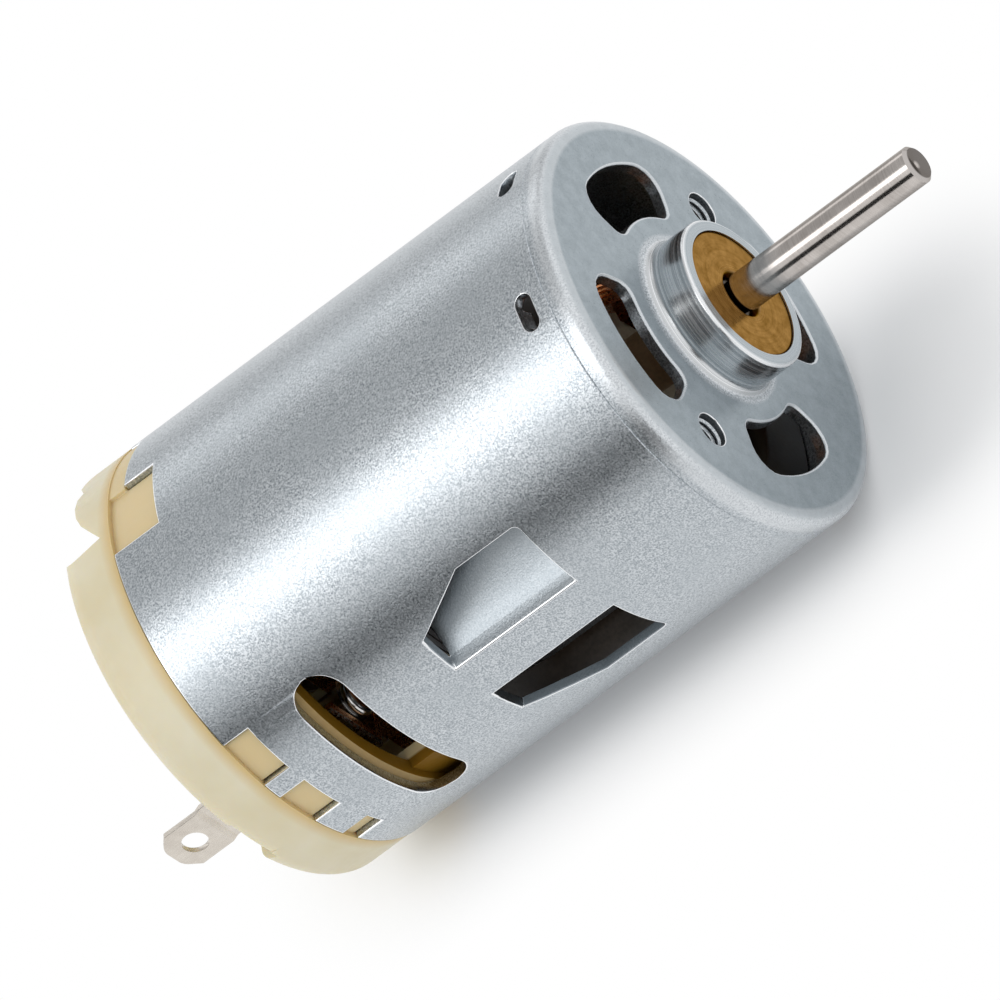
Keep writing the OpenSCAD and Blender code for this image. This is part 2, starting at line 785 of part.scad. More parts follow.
// The underside of a shoe thins towards its tips.
module shoe_slope() {
    tip_z = stack_r * sin(shoe_half);
    root_y = stack_r - shoe_t;
    polygon([[-root_y, tooth_w / 2], [-shoe_tip_y, tip_z], [-shoe_tip_y, tip_z + over],
        [-can_r, tip_z + over], [-can_r, -tip_z - over], [-shoe_tip_y, -tip_z - over],
        [-shoe_tip_y, -tip_z], [-root_y, -tooth_w / 2]]);
}

module lamination_stack() {
    color("#55585c") along_x(stack_rear, stack_front) pole_drawing(shoe_half, stack_r);
}

module insulator_drawing() {
    pole_drawing(shoe_half - insulator_turn_in, stack_r - insulator_inset);
}

module front_insulator() {
    color("#6b2f22") union() {
        along_x(stack_front, stack_front + insulator_t) insulator_drawing();
        tube(rotor_bore_r, insulator_hub_r, stack_front + insulator_t / 2, front_hub_x);
    }
}

module rear_insulator() {
    color("#6b2f22") union() {
        along_x(stack_rear - insulator_t, stack_rear) insulator_drawing();
        tube(rotor_bore_r, insulator_hub_r, rear_hub_x, stack_rear - insulator_t / 2);
    }
}

// Outline of a coil, seen along its tooth, as a share of its half sizes
function squared(value) = sign(value) * pow(abs(value), 2 / coil_square);
function outline_point(turn, half_len, half_w) =
    [half_len * squared(cos(turn)), half_w * squared(sin(turn))];
function coil_half_w_at(r) = coil_half_w + coil_slope * (r - coil_in_r);

// Body of a coil, which grows wider towards the pole shoe
module coil(turn) {
    out_half_w = coil_half_w_at(coil_out_r);
    color("#a5541f") around(turn) difference() {
        translate([coil_mid_x, -coil_in_r, 0]) rotate([90, 0, 0])
            linear_extrude(coil_depth, scale = [1, out_half_w / coil_half_w])
                polygon([for (step = [0 : coil_points - 1])
                    outline_point(step * 360 / coil_points, coil_half_len, coil_half_w)]);
        translate([stack_rear - insulator_t - press_gap, -stack_r, -tooth_w / 2 - press_gap])
            cube([stack_len + 2 * (insulator_t + press_gap), stack_r, tooth_w + 2 * press_gap]);
    }
}

// Points of one winding: in from its own hook, round the coil and outwards, and across to the next hook
wire_steps = turns * coil_points;
wire_back_x = coil_mid_x - coil_half_len - wire_off;
function wire_r_at(step) = wire_start_r + turn_pitch * step / coil_points;
function wire_turn_at(step) = 180 + step * 360 / coil_points;
function wire_point(step) = let (r = wire_r_at(step), flat = outline_point(wire_turn_at(step),
    coil_half_len + wire_off, coil_half_w_at(r) + wire_off)) [coil_mid_x + flat[0], -r, flat[1]];
function about_shaft(x, r, turn, side) =
    [x, -r * cos(turn) - side * sin(turn), side * cos(turn) - r * sin(turn)];
wire_end_r = wire_r_at(wire_steps);
lead_x = wire_back_x - lead_drop;
wire_points = concat(
    [[comm_front, -wire_start_r, -lead_side], [wire_back_x - wire_d, -wire_start_r, -lead_side]],
    [for (step = [1 : wire_steps - 1]) wire_point(step)],
    [for (i = [0 : len(lead_r_shares) - 1])
        about_shaft(lead_x, wire_end_r * lead_r_shares[i], pole_turn * lead_turns_share[i], 0)],
    [about_shaft(lead_x, wire_start_r, pole_turn, lead_side),
        about_shaft(comm_front, wire_start_r, pole_turn, lead_side)]);

function minus_end(points, i) = points[max(i - 1, 0)];
function plus_end(points, i) = points[min(i + 1, len(points) - 1)];
function unit(v) = v / norm(v);
function wire_ring(points, i) = let (way = unit(plus_end(points, i) - minus_end(points, i)),
    out = unit(cross(way, [0, 1, 0])), up = cross(out, way))
    [for (side = [0 : wire_sides - 1]) points[i] + wire_d / 2
        * (cos(side * 360 / wire_sides) * out + sin(side * 360 / wire_sides) * up)];

// Least free gap between two stretches of the wire that lie half a turn or more apart
last_point = len(wire_points) - 1;
wire_least_gap = min([for (i = [0 : last_point], j = [0 : last_point]) if (j - i >= coil_points / 2)
    norm(wire_points[i] - wire_points[j]) - wire_d]);
echo(wire_least_gap = wire_least_gap);

module winding(turn) {
    count = len(wire_points);
    rings = [for (i = [0 : count - 1]) each wire_ring(wire_points, i)];
    sides = wire_sides;
    walls = [for (i = [0 : count - 2], side = [0 : sides - 1]) let (a = i * sides + side,
        b = i * sides + (side + 1) % sides) each [[a, b, b + sides], [a, b + sides, a + sides]]];
    first = [for (side = [1 : sides - 2]) [0, side + 1, side]];
    last = [for (side = [1 : sides - 2]) let (a = (count - 1) * sides) [a, a + side, a + side + 1]];
    color("#c06a2c") around(turn) polyhedron(rings, concat(walls, first, last));
}

// Commutator
module commutator_hub() {
    color("#2b2522") union() {
        tube(rotor_bore_r, comm_neck_r, comm_front - press_gap, rear_hub_x);
        tube(rotor_bore_r, comm_hub_r, comm_back, comm_front);
    }
}

module commutator_bar(turn) {
    color("#b8682f") around(turn) union() {
        along_x(comm_back, comm_front) sector(comm_hub_r + press_gap, comm_r, bar_half_turn);
        translate([comm_front - hook_t, -hook_r, -hook_w / 2])
            cube([hook_t, hook_r - hook_root_r, hook_w]);
    }
}

// Washers and spacers on the shaft
module front_washer() {
    color("#d8d2c0") tube(rotor_bore_r, washer_r, front_washer_x - washer_t, front_washer_x);
}

module front_spacer() {
    color("#c9c4b6") tube(rotor_bore_r, spacer_r, front_hub_x, front_spacer_x);
}

module rear_spacer() {
    color("#c9c4b6") tube(rotor_bore_r, spacer_r, rear_washer_x, comm_back);
}

module rear_washer() {
    color("#d8d2c0") tube(rotor_bore_r, washer_r, rear_washer_x - washer_t, rear_washer_x);
}

can();
front_bearing();
magnet_upper();
magnet_lower();
end_cap();
rear_bearing();
bearing_retainer();
terminal(0);  // terminal_near
terminal(180);  // terminal_far
brush_bracket(0);  // brush_bracket_near
brush_bracket(180);  // brush_bracket_far
stop_post(0);  // stop_post_near
stop_post(180);  // stop_post_far
brush_leaf(0);  // brush_leaf_near
brush_leaf(180);  // brush_leaf_far
carbon_brush(0);  // carbon_brush_near
carbon_brush(180);  // carbon_brush_far
shaft();
lamination_stack();
front_insulator();
rear_insulator();
for (pole = [1 : poles]) {
    coil(pole * pole_turn);
    winding(pole * pole_turn);
    commutator_bar(pole * pole_turn);
}
commutator_hub();
front_washer();
front_spacer();
rear_spacer();
rear_washer();
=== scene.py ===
import json
import math

import bmesh
import bpy
from mathutils import Matrix, Vector


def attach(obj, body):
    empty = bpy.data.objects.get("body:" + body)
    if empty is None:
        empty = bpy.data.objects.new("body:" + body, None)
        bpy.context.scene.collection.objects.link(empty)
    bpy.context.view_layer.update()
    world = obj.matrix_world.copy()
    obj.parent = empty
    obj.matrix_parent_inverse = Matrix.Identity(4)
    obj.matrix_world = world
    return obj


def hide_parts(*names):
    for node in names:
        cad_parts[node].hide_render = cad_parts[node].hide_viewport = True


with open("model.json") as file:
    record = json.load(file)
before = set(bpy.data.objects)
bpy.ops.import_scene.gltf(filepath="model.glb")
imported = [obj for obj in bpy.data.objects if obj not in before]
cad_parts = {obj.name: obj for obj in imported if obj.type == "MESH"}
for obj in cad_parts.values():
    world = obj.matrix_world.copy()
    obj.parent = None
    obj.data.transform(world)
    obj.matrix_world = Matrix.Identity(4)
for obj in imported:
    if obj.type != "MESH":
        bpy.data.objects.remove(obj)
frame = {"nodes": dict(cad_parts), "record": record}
bpy.context.view_layer.update()
mm = 0.001


studio = {
    "lens": 1500.0,
    "sensor": 36.0,
    "frameWidth": 74.63,  # mm that the picture spans at the target
    "target": (-18.35, -8.02, 4.56),
    "lean": 26.3,  # degrees between the shaft and the picture's plane
    "roll": 36.4,  # degrees of the shaft in the picture
    "around": 40.2,  # degrees of the sight line about the shaft, from the terminal side
    "floorZ": -17.93,
    "floorSize": 3.0,
    "floorColour": (0.95, 0.95, 0.95, 1.0), "floorRough": 0.9, "floorShine": 0.1,
    "floorGlow": 0.1,  # share of the floor that stays white under the shadow
    "shadowFrom": 7.0, "shadowTo": 21.0,  # mm from the foot, between which the floor turns all white
    "footMid": -20.0, "footHalf": 24.0,  # the foot is a line under the can: its middle and half its length
    "skyLevel": 0.86, "skyColour": (0.97, 0.985, 1.0, 1.0), "shownColour": (1.0, 1.0, 1.0, 1.0),
    "clip": (0.01, 20.0),  # m
}


def cameraAxes():
    # right, up and towards the camera
    lean, roll, around = (math.radians(studio[key]) for key in ("lean", "roll", "around"))
    towards = Vector((math.sin(lean), -math.cos(lean) * math.cos(around),
                      math.cos(lean) * math.sin(around)))
    across = Vector((0, -math.sin(around), -math.cos(around)))
    along = across.cross(towards) * -1
    if along.x < 0:
        along.negate()
    right = along * math.cos(roll) + across * math.sin(roll)
    return right, towards.cross(right), towards


def addCamera():
    right, up, towards = cameraAxes()
    data = bpy.data.cameras.new("camera")
    data.lens = studio["lens"]
    data.sensor_width = studio["sensor"]
    data.clip_start, data.clip_end = studio["clip"]
    camera = bpy.data.objects.new("camera", data)
    distance = studio["lens"] / studio["sensor"] * studio["frameWidth"]
    place = Vector(studio["target"]) + towards * distance
    turn = Matrix((right, up, towards)).transposed().to_4x4()
    camera.matrix_world = Matrix.Translation(place * mm) @ turn
    bpy.context.collection.objects.link(camera)
    bpy.context.scene.camera = camera


def seenDirectly(nodes, links):
    # 1 for what the camera sees itself, in a reflection or through glass, otherwise 0
    path = nodes.new("ShaderNodeLightPath")
    first = nodes.new("ShaderNodeMath")
    first.operation = "MAXIMUM"
    second = nodes.new("ShaderNodeMath")
    second.operation = "MAXIMUM"
    links.new(path.outputs["Is Camera Ray"], first.inputs[0])
    links.new(path.outputs["Is Glossy Ray"], first.inputs[1])
    links.new(first.outputs[0], second.inputs[0])
    links.new(path.outputs["Is Transmission Ray"], second.inputs[1])
    return second.outputs[0]


def addWorld():
    world = bpy.data.worlds.new("studioRoom")
    world.use_nodes = True
    nodes, links = world.node_tree.nodes, world.node_tree.links
    light = nodes["Background"]
    light.inputs["Color"].default_value = studio["skyColour"]
    light.inputs["Strength"].default_value = studio["skyLevel"]
    shown = nodes.new("ShaderNodeBackground")
    shown.inputs["Color"].default_value = studio["shownColour"]
    pick = nodes.new("ShaderNodeMixShader")
    links.new(seenDirectly(nodes, links), pick.inputs[0])
    links.new(light.outputs[0], pick.inputs[1])
    links.new(shown.outputs[0], pick.inputs[2])
    links.new(pick.outputs[0], nodes["World Output"].inputs["Surface"])
    bpy.context.scene.world = world
    bpy.context.scene.view_settings.view_transform = "Standard"


def addFloor():
    mesh = bpy.data.meshes.new("floor")
    shape = bmesh.new()
    bmesh.ops.create_grid(shape, x_segments=1, y_segments=1, size=studio["floorSize"] / 2)
    bmesh.ops.translate(shape, verts=shape.verts, vec=(0, 0, studio["floorZ"] * mm))
    shape.to_mesh(mesh)
    shape.free()
    floor = bpy.data.objects.new("floor", mesh)
    bpy.context.collection.objects.link(floor)
    material = bpy.data.materials.new("paleFloor")
    material.use_nodes = True
    nodes, links = material.node_tree.nodes, material.node_tree.links
    shader = nodes["Principled BSDF"]
    shader.inputs["Base Color"].default_value = studio["floorColour"]
    shader.inputs["Roughness"].default_value = studio["floorRough"]
    shader.inputs["Specular IOR Level"].default_value = studio["floorShine"]
    glow = nodes.new("ShaderNodeEmission")
    pick = nodes.new("ShaderNodeMixShader")
    place = nodes.new("ShaderNodeTexCoord").outputs["Object"]
    parts = nodes.new("ShaderNodeSeparateXYZ")
    links.new(place, parts.inputs[0])
    steps = (("SUBTRACT", studio["footMid"] * mm), ("ABSOLUTE", 0),
             ("SUBTRACT", studio["footHalf"] * mm), ("MAXIMUM", 0))
    value = parts.outputs[0]
    for operation, number in steps:
        step = nodes.new("ShaderNodeMath")
        step.operation = operation
        links.new(value, step.inputs[0])
        step.inputs[1].default_value = number
        value = step.outputs[0]
    flat = nodes.new("ShaderNodeCombineXYZ")
    links.new(value, flat.inputs[0])
    links.new(parts.outputs[1], flat.inputs[1])
    reach = nodes.new("ShaderNodeVectorMath")
    reach.operation = "LENGTH"
    links.new(flat.outputs[0], reach.inputs[0])
    fade = nodes.new("ShaderNodeMapRange")
    fade.interpolation_type = "SMOOTHSTEP"
    links.new(reach.outputs["Value"], fade.inputs["Value"])
    for key, number in (("From Min", studio["shadowFrom"] * mm), ("From Max", studio["shadowTo"] * mm),
                        ("To Min", studio["floorGlow"]), ("To Max", 1.0)):
        fade.inputs[key].default_value = number
    share = nodes.new("ShaderNodeMath")
    share.operation = "MULTIPLY"
    links.new(fade.outputs["Result"], share.inputs[1])
    links.new(seenDirectly(nodes, links), share.inputs[0])
    links.new(share.outputs[0], pick.inputs[0])
    links.new(shader.outputs[0], pick.inputs[1])
    links.new(glow.outputs[0], pick.inputs[2])
    links.new(pick.outputs[0], nodes["Material Output"].inputs["Surface"])
    mesh.materials.append(material)


lamps = {
    # turn is in degrees about the shaft from the sight line, distance and sizes are in mm
    "bandLamp": {"turn": -23, "distance": 600, "wide": 220, "long": 700, "level": 1.8},
    "topLamp": {"turn": -108, "distance": 600, "wide": 160, "long": 700, "level": 0.72},
}

cards = {
    # only the metal reflects these: turn, distance and sizes as above, shade from 0, black, to 1, white
    "darkCard": {"turn": 28, "distance": 700, "wide": 280, "long": 1500, "shade": 0.03},
    "upperCard": {"turn": -68, "distance": 900, "wide": 917, "long": 1800, "shade": 0.58},
    "rearCard": {"turn": -122, "distance": 900, "wide": 917, "long": 1800, "shade": 0.62},
}


def directionAbout(turn):
    lean, around = math.radians(studio["lean"]), math.radians(studio["around"])
    across = Vector((0, -math.sin(around), -math.cos(around)))
    facing = Vector((0, -math.cos(around), math.sin(around)))
    turned = across * math.sin(math.radians(turn)) + facing * math.cos(math.radians(turn))
    return turned * math.cos(lean) - Vector((math.sin(lean), 0, 0))


def placeAbout(turn, distance):
    back = directionAbout(turn).normalized()
    along = (Vector((1, 0, 0)) - back * back.x).normalized()
    place = Vector((studio["footMid"], 0, 0)) + back * distance
    turned = Matrix((along, back.cross(along), back)).transposed().to_4x4()
    return Matrix.Translation(place * mm) @ turned


def addLamps():
    for name, lamp in lamps.items():
        data = bpy.data.lights.new(name, "AREA")
        data.shape = "RECTANGLE"
        data.size = lamp["long"] * mm
        data.size_y = lamp["wide"] * mm
        data.energy = lamp["level"] * math.pi * data.size * data.size_y
        light = bpy.data.objects.new(name, data)
        light.matrix_world = placeAbout(lamp["turn"], lamp["distance"])
        light.visible_camera = False
        bpy.context.collection.objects.link(light)


def addCards():
    for name, card in cards.items():
        shape = bmesh.new()
        bmesh.ops.create_grid(shape, x_segments=1, y_segments=1, size=0.5)
        bmesh.ops.scale(shape, verts=shape.verts, vec=(card["long"] * mm, card["wide"] * mm, 1))
        bmesh.ops.transform(shape, verts=shape.verts, matrix=placeAbout(card["turn"], card["distance"]))
        mesh = bpy.data.meshes.new(name)
        shape.to_mesh(mesh)
        shape.free()
        material = bpy.data.materials.new(name)
        material.use_nodes = True
        nodes, links = material.node_tree.nodes, material.node_tree.links
        plain = nodes.new("ShaderNodeEmission")
        plain.inputs["Strength"].default_value = card["shade"]
        links.new(plain.outputs[0], nodes["Material Output"].inputs["Surface"])
        mesh.materials.append(material)
        board = bpy.data.objects.new(name, mesh)
        board.visible_camera = board.visible_diffuse = board.visible_shadow = False
        bpy.context.collection.objects.link(board)


addCamera()
addWorld()
addFloor()
addLamps()
addCards()
print("studio set")


def addNode(material, kind, inputs=None, **settings):
    step = material.node_tree.nodes.new("ShaderNode" + kind)
    for key, value in settings.items():
        setattr(step, key, value)
    for key, value in (inputs or {}).items():
        if isinstance(value, bpy.types.NodeSocket):
            material.node_tree.links.new(value, step.inputs[key])
        else:
            step.inputs[key].default_value = value
    return step


def startMaterial(name, **constants):
    material = bpy.data.materials.new(name)
    material.use_nodes = True
    shader = material.node_tree.nodes["Principled BSDF"]
    for key, value in constants.items():
        shader.inputs[key].default_value = value
    return material, shader


def objectPlace(material):
    return addNode(material, "TexCoord").outputs["Object"]


def noise(material, place, size, detail=2.0, rough=0.5, stretch=None):
    # size is the grain in mm
    if stretch:
        place = addNode(material, "Mapping", {"Vector": place, "Scale": stretch}).outputs[0]
    step = addNode(material, "TexNoise", {"Vector": place, "Scale": 1 / (size * mm),
                                          "Detail": detail, "Roughness": rough})
    return step.outputs["Fac"]


def mapped(material, value, span, toLow=0.0, toHigh=1.0):
    # toLow up to the first value of span, and toHigh from the second one on
    return addNode(material, "MapRange", {"Value": value, "From Min": span[0], "From Max": span[1],
                                          "To Min": toLow, "To Max": toHigh}).outputs["Result"]


def zone(material, value, span, share=1.0):
    # a mask over a place in mm: nothing at the first value of span, the full share from the second one on
    return mapped(material, value, (span[0] * mm, span[1] * mm), 0, share)


def mixedColours(material, value, first, second):
    step = addNode(material, "Mix", data_type="RGBA")
    for index, item in ((0, value), (6, first), (7, second)):
        if isinstance(item, bpy.types.NodeSocket):
            material.node_tree.links.new(item, step.inputs[index])
        else:
            step.inputs[index].default_value = item if index == 0 else (*item, 1)
    return step.outputs[2]


def mixedValues(material, value, first, second):
    return addNode(material, "Mix", {0: value, 2: first, 3: second}, data_type="FLOAT").outputs[0]


def math2(material, operation, first, second):
    return addNode(material, "Math", {0: first, 1: second}, operation=operation).outputs[0]


def times(material, first, second):
    return math2(material, "MULTIPLY", first, second)


def bumped(material, shader, height, depth, strength=1.0, before=None):
    # depth is in mm
    inputs = {"Height": height, "Distance": depth * mm, "Strength": strength}
    if before is not None:
        inputs["Normal"] = before
    normal = addNode(material, "Bump", inputs).outputs["Normal"]
    material.node_tree.links.new(normal, shader.inputs["Normal"])
    return normal


def join(material, value, shader, key):
    material.node_tree.links.new(value, shader.inputs[key])


def axisPlace(material):
    # the place on the piece, x along the shaft, and the radius from the shaft's axis
    place = objectPlace(material)
    parts = addNode(material, "SeparateXYZ", {0: place})
    flat = addNode(material, "CombineXYZ", {1: parts.outputs[1], 2: parts.outputs[2]}).outputs[0]
    radius = addNode(material, "VectorMath", {0: flat}, operation="LENGTH").outputs["Value"]
    return place, parts.outputs[0], radius


def ringPlace(material, along, radius):
    # a pattern on this place makes rings about the shaft
    return addNode(material, "CombineXYZ", {0: along, 1: radius}).outputs[0]


def platedSteel():
    look = {
        "pale": (0.70, 0.735, 0.765), "deep": (0.31, 0.345, 0.375), "cloud": (0.47, 0.51, 0.54),
        # painted highlight: rim is the bright colour given to cut and rounded edges
        "rim": (0.88, 0.90, 0.92), "turned": (0.84, 0.855, 0.87), "grooved": (0.50, 0.52, 0.535),
        # painted shade: face and the darker colour after it stand in for the shaded floor that the flat
        # front reflects
        "face": (0.35, 0.405, 0.44), "faceShade": (0.27, 0.32, 0.35), "pressed": (0.34, 0.375, 0.40),
        # painted shade: the near-black colour of the walls of the tapped holes
        "tapped": (0.06, 0.065, 0.07),
        # each pattern: grain in mm, detail, roughness; its span is where one colour turns into the other
        "grain": (0.15, 2, 0.6), "clouds": (5.5, 3, 0.55),
        "scuffs": (1.3, 6, 0.72), "rings": (0.16, 4, 0.6),
        "grainSpan": (0.38, 0.62), "cloudSpan": (0.3, 0.7), "cloudShare": 0.5,
        "scuffSpan": (0.38, 0.62), "ringSpan": (0.36, 0.64),
        # where each finish starts and where it is full, in mm along the shaft (X) or out from it (R)
        "frontX": (-0.3, -0.1), "frontR": (7.3, 7.6), "frontShare": 0.85,
        "filletHighlightX": (-1.6, -1.2), "filletHighlightR": (16.6, 16.9), "filletHighlightShare": 0.35,
        "pressedR": (17.85, 17.5), "pressedRearX": (-28.0, -27.7), "pressedFrontX": (-14.1, -14.4),
        "pressedShare": 0.7,
        "turnedX": (0.03, 0.2), "turnedR": (9.2, 8.8),
        "collarEndX": (3.64, 3.68), "collarEndShare": 0.75,
        # roughness from the bottom to the top of a pattern, and bump depths in mm with their strengths
        "roughSpan": (0.3, 0.7), "bodyRough": (0.27, 0.36), "turnedRough": (0.2, 0.32),
        "pressedRough": 0.42, "rimRough": 0.2,
        "grainDepth": 0.034, "grainStrength": 0.5, "ringDepth": 0.006, "ringStrength": 0.6,
    }
    material, shader = startMaterial("platedSteel", Metallic=1.0)
    place, along, radius = axisPlace(material)
    grain = noise(material, place, *look["grain"])
    clouds = noise(material, place, *look["clouds"])
    body = mixedColours(material, mapped(material, grain, look["grainSpan"]), look["deep"], look["pale"])
    cloudy = mapped(material, clouds, look["cloudSpan"], 0, look["cloudShare"])
    body = mixedColours(material, cloudy, body, look["cloud"])
    # painted shade: the flat front gets darker colours than the drawn side, standing in for the shaded
    # floor that it reflects
    scuffs = noise(material, place, *look["scuffs"])
    faceShade = mixedColours(material, mapped(material, scuffs, look["scuffSpan"]), look["faceShade"], look["face"])
    front = times(material, zone(material, along, look["frontX"]),
                  zone(material, radius, look["frontR"], look["frontShare"]))
    body = mixedColours(material, front, body, faceShade)
    # painted highlight: the rounded edge round the front is given the bright rim colour
    filletHighlight = times(material, zone(material, along, look["filletHighlightX"]),
                   zone(material, radius, look["filletHighlightR"], look["filletHighlightShare"]))
    body = mixedColours(material, filletHighlight, body, look["rim"])
    # the pressed louver panels are darker and rougher than the drawn side
    pressedLength = times(material, zone(material, along, look["pressedRearX"]),
                          zone(material, along, look["pressedFrontX"]))
    pressed = times(material, zone(material, radius, look["pressedR"], look["pressedShare"]), pressedLength)
    body = mixedColours(material, pressed, body, look["pressed"])
    # the collar is turned: fine rings there instead of grain
    turned = times(material, zone(material, along, look["turnedX"]),
                   zone(material, radius, look["turnedR"]))
    rings = noise(material, ringPlace(material, along, radius), *look["rings"])
    ringed = mapped(material, rings, look["ringSpan"])
    ringed = mixedColours(material, ringed, look["grooved"], look["turned"])
    body = mixedColours(material, turned, body, ringed)
    # painted shade: the collar's front end takes the darker front colour, as on the flat front
    collarEnd = zone(material, along, look["collarEndX"], look["collarEndShare"])
    body = mixedColours(material, collarEnd, body, look["face"])
    # the rim attribute is above 0 on cut and rounded edges, which get a painted highlight, and below 0 on
    # the walls of the tapped holes, which get painted shade
    rim = addNode(material, "Attribute", attribute_name="rim").outputs["Fac"]
    body = mixedColours(material, mapped(material, rim, (0, -1)), body, look["tapped"])
    join(material, mixedColours(material, rim, body, look["rim"]), shader, "Base Color")
    rough = mapped(material, grain, look["roughSpan"], *look["bodyRough"])
    rough = mixedValues(material, pressed, rough, look["pressedRough"])
    ringRough = mapped(material, rings, look["roughSpan"], *look["turnedRough"])
    rough = mixedValues(material, turned, rough, ringRough)
    join(material, mixedValues(material, rim, rough, look["rimRough"]), shader, "Roughness")
    # grain stands out but on turned metal and edges, and rings only on turned metal
    plain = math2(material, "MAXIMUM", turned, rim)
    level = 0.5  # the height that a pattern fades to
    coarse = bumped(material, shader, mixedValues(material, plain, grain, level), look["grainDepth"],
                    look["grainStrength"])
    bumped(material, shader, mixedValues(material, turned, level, rings), look["ringDepth"],
           look["ringStrength"], coarse)
    return material


turnedLook = {"ringDetail": 3, "patches": (4, 0.6),
              "colourSpan": (0.36, 0.62), "roughSpan": (0.3, 0.7)}


def turnedMetal(name, pale, deep, low, high, ring=0.12, depth=0.004, mottle=1.4, spread=0.6):
    # turned or ground metal: rings about the shaft over mottled metal, low and high being its roughness
    material, shader = startMaterial(name, Metallic=1.0)
    place, along, radius = axisPlace(material)
    rings = noise(material, ringPlace(material, along, radius), ring, turnedLook["ringDetail"])
    patches = noise(material, place, mottle, *turnedLook["patches"])
    both = math2(material, "ADD", times(material, rings, 1 - spread), times(material, patches, spread))
    colour = mixedColours(material, mapped(material, both, turnedLook["colourSpan"]), deep, pale)
    join(material, colour, shader, "Base Color")
    join(material, mapped(material, rings, turnedLook["roughSpan"], low, high), shader, "Roughness")
    bumped(material, shader, rings, depth)
    return material


grainLook = {"noise": (3, 0.55), "broad": 9, "share": 0.5,
             "colourSpan": (0.36, 0.64), "roughSpan": (0.3, 0.7)}


def grainMaterial(name, pale, deep, rough, grain=0.3, depth=0.01, metal=0.0, stretch=None, **constants):
    # fine grain over broad clouds of the same two colours
    constants["Metallic"] = metal
    material, shader = startMaterial(name, **constants)
    place = objectPlace(material)
    fine = noise(material, place, grain, *grainLook["noise"], stretch)
    broad = noise(material, place, grain * grainLook["broad"], *grainLook["noise"])
    both = math2(material, "ADD", times(material, fine, grainLook["share"]),
                 times(material, broad, 1 - grainLook["share"]))
    colour = mixedColours(material, mapped(material, both, grainLook["colourSpan"]), deep, pale)
    join(material, colour, shader, "Base Color")
    join(material, mapped(material, fine, grainLook["roughSpan"], *rough), shader, "Roughness")
    bumped(material, shader, fine, depth)
    return material


def nylonMaterial():
    look = {
        # painted shade and reflection: amber stands in for the shade of the gap by the can and the can's
        # reflection
        "pale": (0.70, 0.645, 0.485), "deep": (0.645, 0.565, 0.37), "amber": (0.60, 0.42, 0.17),
        # painted shade: the dark amber of the skirt inside the vent
        "inside": (0.20, 0.10, 0.008), "filler": (0.64, 0.50, 0.27),
        # where each colour starts and where it is full, in mm along the shaft (X) or out from it (R)
        "amberX": (-46.2, -45.2), "amberShare": 0.85, "fillerX": (-45.1, -45.0),
        "insideX": (-45.0, -44.6), "insideOuterR": (17.0, 16.8), "insideInnerR": (15.3, 15.5),
        "fine": (0.5, 3), "broad": (6, 3), "span": (0.3, 0.7), "rough": (0.34, 0.48),
        "shine": 0.45, "insideShine": 0.12, "depth": 0.012, "strength": 0.5,
    }
    material, shader = startMaterial("nylon", **{
        "Subsurface Weight": 0.3, "Subsurface Radius": (1.0, 0.7, 0.3), "Subsurface Scale": 0.0018})
    place, along, radius = axisPlace(material)
    fine = noise(material, place, *look["fine"])
    broad = noise(material, place, *look["broad"])
    colour = mixedColours(material, mapped(material, broad, look["span"]), look["deep"], look["pale"])
    # painted shade and reflection: the rim is amber by the can's edge, for the gap's shade and the can's
    # reflection; the notch fillers are paler; the skirt inside gets a dark amber painted shade
    edge = zone(material, along, look["amberX"], look["amberShare"])
    colour = mixedColours(material, edge, colour, look["amber"])
    colour = mixedColours(material, zone(material, along, look["fillerX"]), colour, look["filler"])
    # painted shade: the skirt inside the vent is dark amber
    inside = times(material, zone(material, along, look["insideX"]),
                   zone(material, radius, look["insideOuterR"]))
    inside = times(material, inside, zone(material, radius, look["insideInnerR"]))
    join(material, mixedColours(material, inside, colour, look["inside"]), shader, "Base Color")
    shine = mixedValues(material, inside, look["shine"], look["insideShine"])
    join(material, shine, shader, "Specular IOR Level")
    join(material, mapped(material, fine, look["span"], *look["rough"]), shader, "Roughness")
    bumped(material, shader, fine, look["depth"], look["strength"])
    return material


def sinteredBronze():
    look = {"pale": (0.43, 0.25, 0.095), "deep": (0.24, 0.133, 0.048), "tint": (0.6, 0.48, 0.34),
            # seam is the colour of a dark joint, and of the painted shade in the bore
            "seam": (0.03, 0.013, 0.002), "outerR": (5.32, 5.40), "boreR": (2.05, 1.9),  # mm
            "rough": (0.17, 0.3), "ring": 0.2, "mottle": 0.9, "spread": 0.65}
    material = turnedMetal("sinteredBronze", look["pale"], look["deep"], *look["rough"], ring=look["ring"],
                           mottle=look["mottle"], spread=look["spread"])
    shader = material.node_tree.nodes["Principled BSDF"]
    shader.inputs["Specular Tint"].default_value = (*look["tint"], 1)
    radius = axisPlace(material)[2]
    # a dark seam where it is pressed in, and painted shade in the bore
    seam = math2(material, "MAXIMUM", zone(material, radius, look["outerR"]),
                 zone(material, radius, look["boreR"]))
    body = shader.inputs["Base Color"].links[0].from_socket
    join(material, mixedColours(material, seam, body, look["seam"]), shader, "Base Color")
    return material


